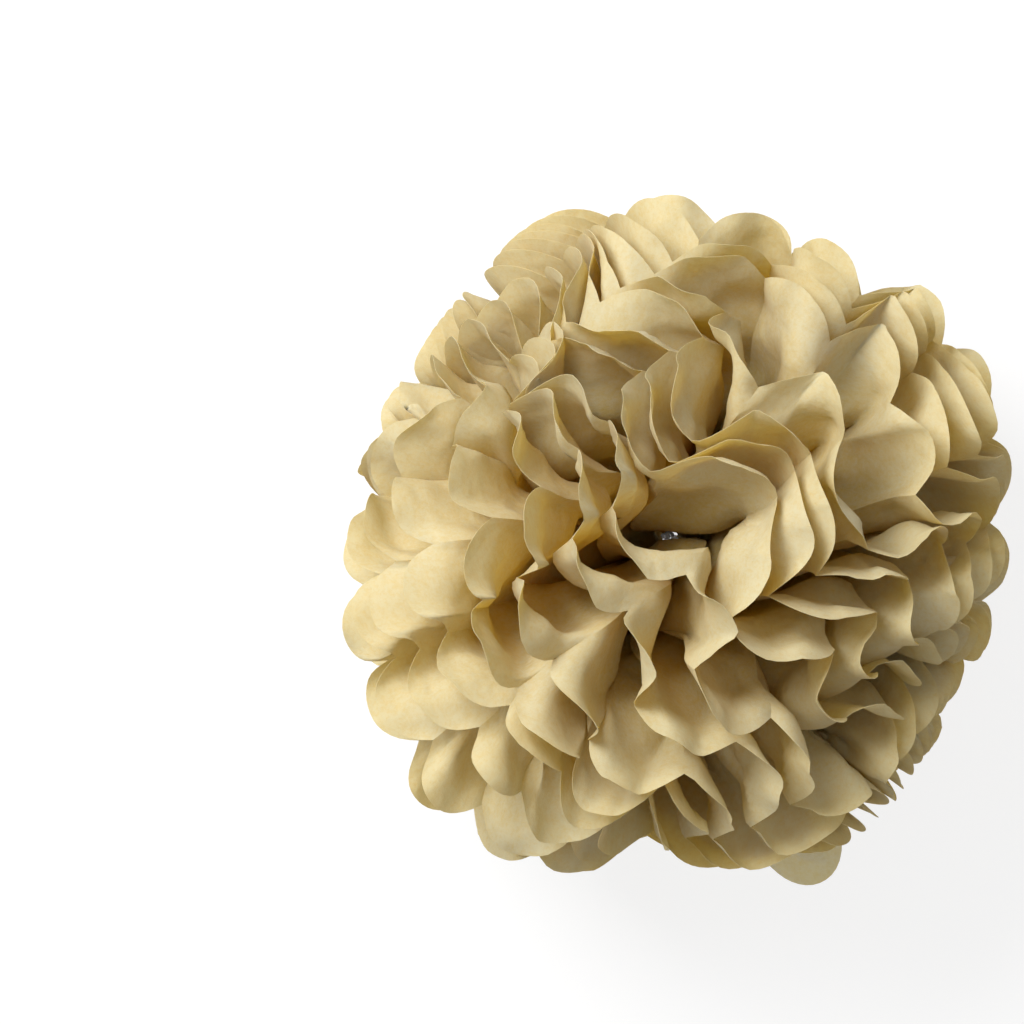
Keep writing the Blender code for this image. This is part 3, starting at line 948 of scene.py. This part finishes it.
def band_surface(radius, half_width):
    """The band round the waist: a cylinder whose radius ripples across the ribbon, narrow at the knot."""
    around = np.linspace(0.0, 2.0 * np.pi, BAND_CELLS[0], endpoint=False)[:, None]
    across = np.linspace(-1.0, 1.0, BAND_CELLS[1])[None, :]
    from_knot = np.abs((around - np.pi / 2 + np.pi) % (2.0 * np.pi) - np.pi)
    narrow = 1.0 - BAND_PINCH * np.exp(-((from_knot / BAND_PINCH_ANGLE) ** 2))
    ripple = np.cos(BAND_FOLDS * np.pi * across + BAND_SWING * np.sin(2.0 * around))
    out = radius - BAND_RIPPLE * (1.0 + ripple)
    width = half_width * narrow * across
    return np.stack([width, out * np.cos(around), out * np.sin(around)], axis=-1)


def knot_surface(size):
    """A trefoil knot, (sin t + 2 sin 2t, -sin 3t, cos t - 2 cos 2t), of ribbon with a flat oval section."""
    turn = np.linspace(0.0, 2.0 * np.pi, KNOT_CELLS[0], endpoint=False)
    line = np.stack([np.sin(turn) + 2.0 * np.sin(2.0 * turn), -np.sin(3.0 * turn) * KNOT_DEPTH,
                     np.cos(turn) - 2.0 * np.cos(2.0 * turn)], axis=-1)
    line *= (size - KNOT_MARGIN) / np.ptp(line, axis=0)
    ahead = np.roll(line, -1, axis=0) - np.roll(line, 1, axis=0)
    ahead /= np.linalg.norm(ahead, axis=1, keepdims=True)
    flatly = np.cross(ahead, (0.0, 1.0, 0.0))
    flatly /= np.linalg.norm(flatly, axis=1, keepdims=True)
    upright = np.cross(flatly, ahead)
    round_about = np.linspace(0.0, 2.0 * np.pi, KNOT_CELLS[1], endpoint=False)[None, :, None]
    section = flatly[:, None] * KNOT_SECTION[0] * np.cos(round_about)
    section = section + upright[:, None] * KNOT_SECTION[1] * np.sin(round_about)
    return line[:, None] + section


def closed_object(name, grid, closed_across, finish):
    """A mesh object from a grid of points that closes on itself, once or in both directions."""
    rows, columns = grid.shape[:2]
    row = np.arange(rows)[:, None]
    column = np.arange(columns if closed_across else columns - 1)[None, :]
    after, beside = (row + 1) % rows, (column + 1) % columns
    corners = ((row, column), (row, beside), (after, beside), (after, column))
    faces = np.stack([np.broadcast_to(a * columns + b, (rows, column.size)) for a, b in corners], axis=-1)
    mesh = bpy.data.meshes.new(name)
    mesh.from_pydata(grid.reshape(-1, 3).tolist(), [], faces.reshape(-1, 4).tolist())
    shaped = bmesh.new()
    shaped.from_mesh(mesh)
    bmesh.ops.recalc_face_normals(shaped, faces=shaped.faces)
    shaped.to_mesh(mesh)
    shaped.free()
    mesh.polygons.foreach_set("use_smooth", np.ones(len(mesh.polygons), dtype=bool))
    mesh.materials.append(finish)
    made = bpy.data.objects.new(name, mesh)
    bpy.context.scene.collection.objects.link(made)
    return made


def ribbon_material(settings):
    """White woven ribbon: fine threads in two directions, with a slight sheen.

    A band texture of scale 1 has 10 / pi bands in a metre.
    """
    made, tree = new_material("woven_ribbon")
    place = add_node(tree, "TexCoord").outputs["Object"]
    scale = settings.threads_per_metre * math.pi / 10.0
    values = {"Scale": scale, "Distortion": THREAD_WOBBLE, "Vector": place}
    threads = [add_node(tree, "TexWave", values, bands_direction=direction).outputs["Fac"]
               for direction in ("X", "DIAGONAL")]
    normal = add_bump(tree, computed(tree, "MAXIMUM", *threads), RIBBON_BUMP)
    face = add_node(tree, "BsdfPrincipled", {
        "Base Color": (*settings.ribbon_colour, 1.0), "Normal": normal,
        "Roughness": RIBBON_ROUGHNESS, "Sheen Weight": RIBBON_SHEEN,
    })
    add_output(tree, face.outputs[0])
    return made


class POMPOM_OT_make_tie(bpy.types.Operator):
    """Makes the ribbon round the waist and its knot and puts them in the place of the tie's node"""

    bl_idname = "pompom.make_tie"
    bl_label = "Make Tie"

    def execute(self, context):
        settings = context.scene.pompom_ribbon
        low, high = (np.array(corner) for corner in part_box("centre_tie"))
        radius = (high[2] - low[2]) / 2
        finish = ribbon_material(settings)
        surface = band_surface(radius, (high[0] - low[0]) / 2)
        band = closed_object("ribbon_band", surface + CENTRE, False, finish)
        add_thickness(band, settings.ribbon_thickness)
        outward = high[1] - CENTRE[1] - radius + KNOT_SINK
        size = np.array([high[0] - low[0] - KNOT_INSET, outward, KNOT_HEIGHT])
        seat = CENTRE + (0.0, high[1] - CENTRE[1] - size[1] / 2, 0.0)
        knot = closed_object("ribbon_knot", knot_surface(size) + seat, True, finish)
        for piece in (band, knot):
            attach(piece, "root")
            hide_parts("centre_tie")
        return {"FINISHED"}


class POMPOM_OT_make_sheets(bpy.types.Operator):
    """Makes the crumpled tissue sheets and puts each one in the place of its node"""

    bl_idname = "pompom.make_sheets"
    bl_label = "Make Sheets"

    def execute(self, context):
        settings = context.scene.pompom_paper
        paper = crumpled_paper(settings)
        grid = paper.grid
        dense = tissue_material("tissue_paper", settings, 0.0)
        single = tissue_material("tissue_paper_single", settings, settings.clearness)
        flat = np.concatenate([grid.flat[::-1] * (-1.0, 1.0), grid.flat])
        for number, node in enumerate(SHEETS):
            place = flat + (0.0, number)
            finish = single if number == SLIPPED_SHEET else dense
            piece = grid_object(f"tissue_{number + 1:02d}", sheet_grid(paper.points, number), place, finish)
            add_thickness(piece, settings.thickness)
            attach(piece, "root")
            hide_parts(node)
        return {"FINISHED"}


class POMPOM_OT_set_stage(bpy.types.Operator):
    """Makes the white floor, the soft light and the camera that looks down on the ball"""

    bl_idname = "pompom.set_stage"
    bl_label = "Set Stage"

    def execute(self, context):
        settings = context.scene.pompom_stage
        make_floor(settings)
        make_light(settings)
        make_camera(settings)
        context.scene.view_settings.view_transform = "Standard"
        return {"FINISHED"}


def floor_material(settings):
    """Plain white for the light that falls on it, and nearly white with a faint shadow when it is seen.

    It is seen by the camera's rays and by those that went through the paper or were mirrored.
    """
    made, tree = new_material("white_floor")
    plain = add_node(tree, "BsdfDiffuse", {"Color": (*settings.floor_colour, 1.0)})
    faint = add_node(tree, "BsdfDiffuse", {"Color": (SEEN_SHARE, SEEN_SHARE, SEEN_SHARE, 1.0)})
    glow = add_node(tree, "Emission", {"Strength": SEEN_WHITE})
    seen = add_node(tree, "AddShader", {0: faint.outputs[0], 1: glow.outputs[0]})
    path = add_node(tree, "LightPath").outputs
    looked_at = computed(tree, "MAXIMUM", path["Is Camera Ray"], path["Is Glossy Ray"])
    looked_at = computed(tree, "MAXIMUM", looked_at, path["Is Transmission Ray"])
    last = add_node(tree, "MixShader", {"Fac": looked_at, 1: plain.outputs[0], 2: seen.outputs[0]})
    add_output(tree, last.outputs[0])
    return made


def make_floor(settings):
    """A white plane, a little below the table's plane so that it doesn't touch the paper."""
    bpy.ops.mesh.primitive_plane_add(size=FLOOR_SIZE, location=(0.0, 0.0, 0.0))
    floor = bpy.context.object
    floor.name = "floor"
    floor.data.transform(Matrix.Translation((0.0, 0.0, -FLOOR_DROP)))
    floor.data.materials.append(floor_material(settings))


def make_light(settings):
    """Even light from all round, and one large soft lamp from the picture's upper left."""
    world = bpy.data.worlds.new("soft_light")
    bpy.context.scene.world = world
    world.use_nodes = True
    back = world.node_tree.nodes["Background"]
    back.inputs["Color"].default_value = (1.0, 1.0, 1.0, 1.0)
    back.inputs["Strength"].default_value = settings.sky_strength
    lamp = bpy.data.lights.new("key", "AREA")
    lamp.energy = settings.key_power
    lamp.size = LAMP_SIZE
    key = bpy.data.objects.new("key", lamp)
    bpy.context.scene.collection.objects.link(key)
    bearing = math.radians(LAMP_BEARING)
    key.location = (LAMP_DISTANCE * math.cos(bearing), LAMP_DISTANCE * math.sin(bearing), LAMP_HEIGHT)
    aim = Vector((0.0, 0.0, BALL_MID_HEIGHT)) - key.location
    key.rotation_euler = aim.to_track_quat("-Z", "Y").to_euler()


def make_camera(settings):
    """A long lens straight above the ball, turned so that the seam runs as in the photograph."""
    lens = bpy.data.cameras.new("camera")
    lens.sensor_width = SENSOR_WIDTH
    lens.lens = SENSOR_WIDTH * settings.camera_height / settings.picture_width
    lens.shift_x = 0.5 - BALL_PIXEL[0] / FRAME_PIXELS
    lens.shift_y = BALL_PIXEL[1] / FRAME_PIXELS - 0.5
    camera = bpy.data.objects.new("camera", lens)
    bpy.context.scene.collection.objects.link(camera)
    camera.location = (0.0, 0.0, BALL_MID_HEIGHT + settings.camera_height)
    camera.rotation_euler = (0.0, 0.0, math.radians(CAMERA_ROLL - 90.0))
    bpy.context.scene.camera = camera


class POMPOM_PT_panel(bpy.types.Panel):
    """Lists the pom pom's pieces and their settings"""

    bl_label = "Pom Pom"
    bl_idname = "POMPOM_PT_panel"
    bl_space_type = "VIEW_3D"
    bl_region_type = "UI"
    bl_category = "Pom Pom"

    def draw(self, context):
        scene = context.scene
        for group in (scene.pompom_paper, scene.pompom_ribbon, scene.pompom_stage):
            box = self.layout.box()
            for name in group.__annotations__:
                box.prop(group, name)
        for step in STEPS:
            self.layout.operator(step.bl_idname)


STEPS = (POMPOM_OT_make_sheets, POMPOM_OT_make_tie, POMPOM_OT_set_stage)
CLASSES = (PaperSettings, RibbonSettings, StageSettings, *STEPS, POMPOM_PT_panel)


def register():
    for kind in CLASSES:
        bpy.utils.register_class(kind)
    bpy.types.Scene.pompom_paper = bpy.props.PointerProperty(type=PaperSettings)
    bpy.types.Scene.pompom_ribbon = bpy.props.PointerProperty(type=RibbonSettings)
    bpy.types.Scene.pompom_stage = bpy.props.PointerProperty(type=StageSettings)


def unregister():
    del bpy.types.Scene.pompom_stage
    del bpy.types.Scene.pompom_ribbon
    del bpy.types.Scene.pompom_paper
    for kind in reversed(CLASSES):
        bpy.utils.unregister_class(kind)


def main():
    register()
    bpy.ops.pompom.make_sheets()
    bpy.ops.pompom.make_tie()
    bpy.ops.pompom.set_stage()


if __name__ == "__main__":
    main()
